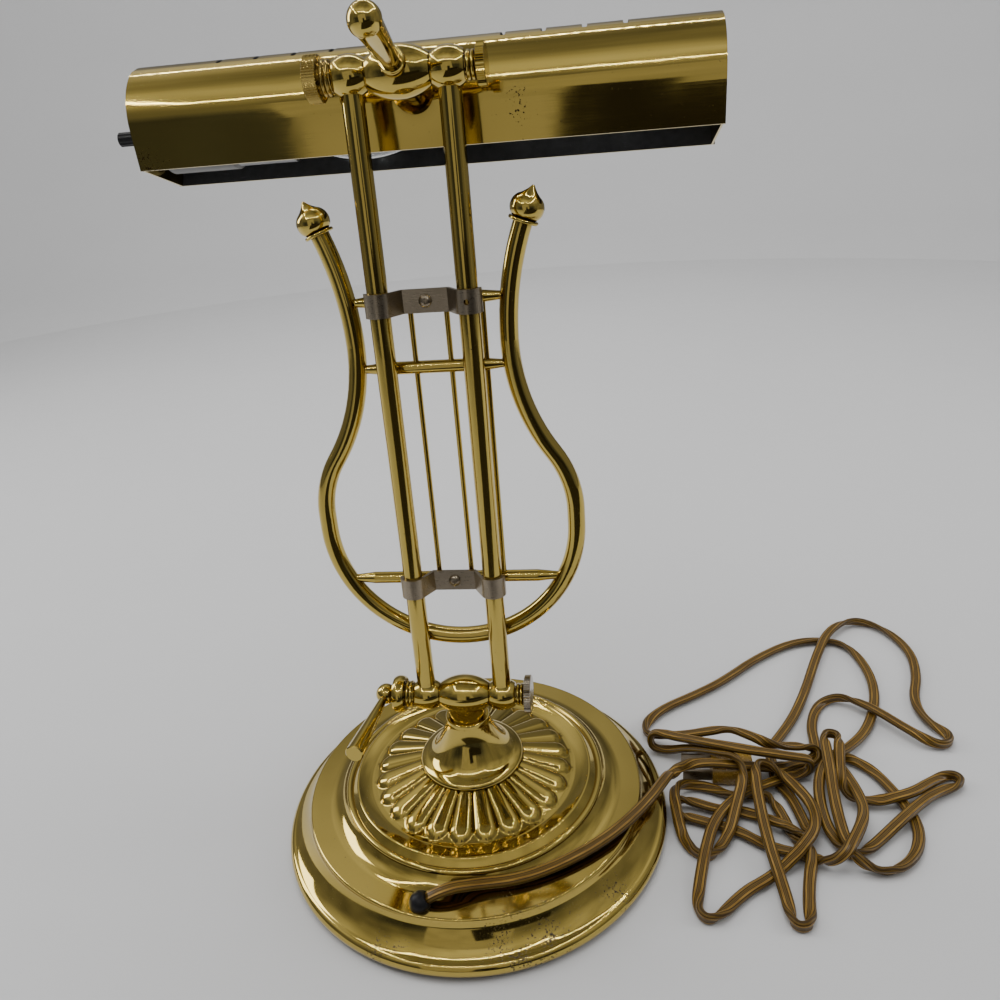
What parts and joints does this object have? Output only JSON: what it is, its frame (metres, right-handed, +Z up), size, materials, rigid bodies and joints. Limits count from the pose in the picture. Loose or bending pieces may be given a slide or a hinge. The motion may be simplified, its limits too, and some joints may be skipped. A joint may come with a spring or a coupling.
{
  "type": "piano lamp",
  "caption": "Brass table lamp with a weighted round base, a tilting twin-tube arm that carries a lyre, and a tipping half-round shade with a handle.",
  "frame": {"origin": "centre of the felt's face on the table, on the neck's axis", "axes": "+Z up, -Y to the front where the light falls, +X to the side of the clamp lever and the switch"},
  "size_m": [0.4131, 0.2766, 0.3856],
  "materials": {
    "brass": "polished and lacquered",
    "nickel": "satin nickel",
    "steel": "zinc plated",
    "iron": "raw casting",
    "felt": "felt",
    "black_plastic": "moulded",
    "phenolic": "moulded",
    "aluminium": "spun",
    "bulb_glass": "clear",
    "cord_vinyl": "translucent gold vinyl over copper"
  },
  "bodies": {
    "base": {"base_shell": "brass", "base_weight": "iron", "base_felt": "felt", "base_washer": "steel", "base_nut": "steel", "centre_nipple": "steel", "neck": "brass", "lower_barrel": "brass", "lower_bolt": "nickel", "cord_bushing": "black_plastic", "cord_lead": "cord_vinyl", "cord_near_loop": "cord_vinyl", "cord_far_loop": "cord_vinyl", "cord_hank": "cord_vinyl", "plug_body": "cord_vinyl", "plug_blades": "brass"},
    "arm": {"arm_tube_left": "brass", "arm_tube_right": "brass", "lower_knuckle_left": "brass", "lower_knuckle_right": "brass", "upper_knuckle_left": "brass", "upper_knuckle_right": "brass", "lyre_frame": "brass", "crossbar_low": "brass", "crossbar_middle": "brass", "crossbar_top": "brass", "lyre_string_1": "brass", "lyre_string_2": "brass", "lyre_string_3": "brass", "lyre_string_4": "brass", "finial_left": "brass", "finial_right": "brass", "strap_lower": "nickel", "strap_upper": "nickel", "strap_screws": "nickel", "upper_bolt": "brass"},
    "clamp_lever": {"clamp_nut": "brass", "clamp_lever": "brass"},
    "head": {"upper_barrel": "brass", "handle": "brass", "stem": "brass", "stem_flange": "brass", "stem_washer": "steel", "stem_nut": "steel", "shade": "brass", "shade_cap_left": "brass", "shade_cap_right": "brass", "switch_body": "phenolic", "switch_ring_nut": "brass", "socket_skirt": "aluminium", "socket_screw_shell": "brass", "socket_contact": "brass", "bulb_base": "aluminium", "bulb_glass": "bulb_glass", "bulb_mount": "bulb_glass", "shade_lead": "cord_vinyl"},
    "thumb_nut": {"thumb_nut": "brass"},
    "switch_knob": {"switch_knob": "black_plastic"}
  },
  "joints": [
    {"name": "arm_tilt", "type": "hinge", "parent": "base", "child": "arm", "pos_m": [0, 0, 0.0791], "axis": [1, 0, 0], "range_deg": [-33.2, 56.8]},
    {"name": "lever_turn", "type": "hinge", "parent": "base", "child": "clamp_lever", "pos_m": [0, 0, 0.0791], "axis": [1, 0, 0], "range_deg": [-35, 55]},
    {"name": "head_tilt", "type": "hinge", "parent": "arm", "child": "head", "pos_m": [0, -0.01597, 0.36465], "axis": [1, 0, 0], "range_deg": [-75, 28]},
    {"name": "thumb_nut_turn", "type": "hinge", "parent": "arm", "child": "thumb_nut", "pos_m": [0, -0.01597, 0.36465], "axis": [1, 0, 0], "range_deg": [0, 180]},
    {"name": "knob_turn", "type": "hinge", "parent": "head", "child": "switch_knob", "pos_m": [0, -0.0631, 0.34888], "axis": [1, 0, 0], "continuous": true}
  ]
}
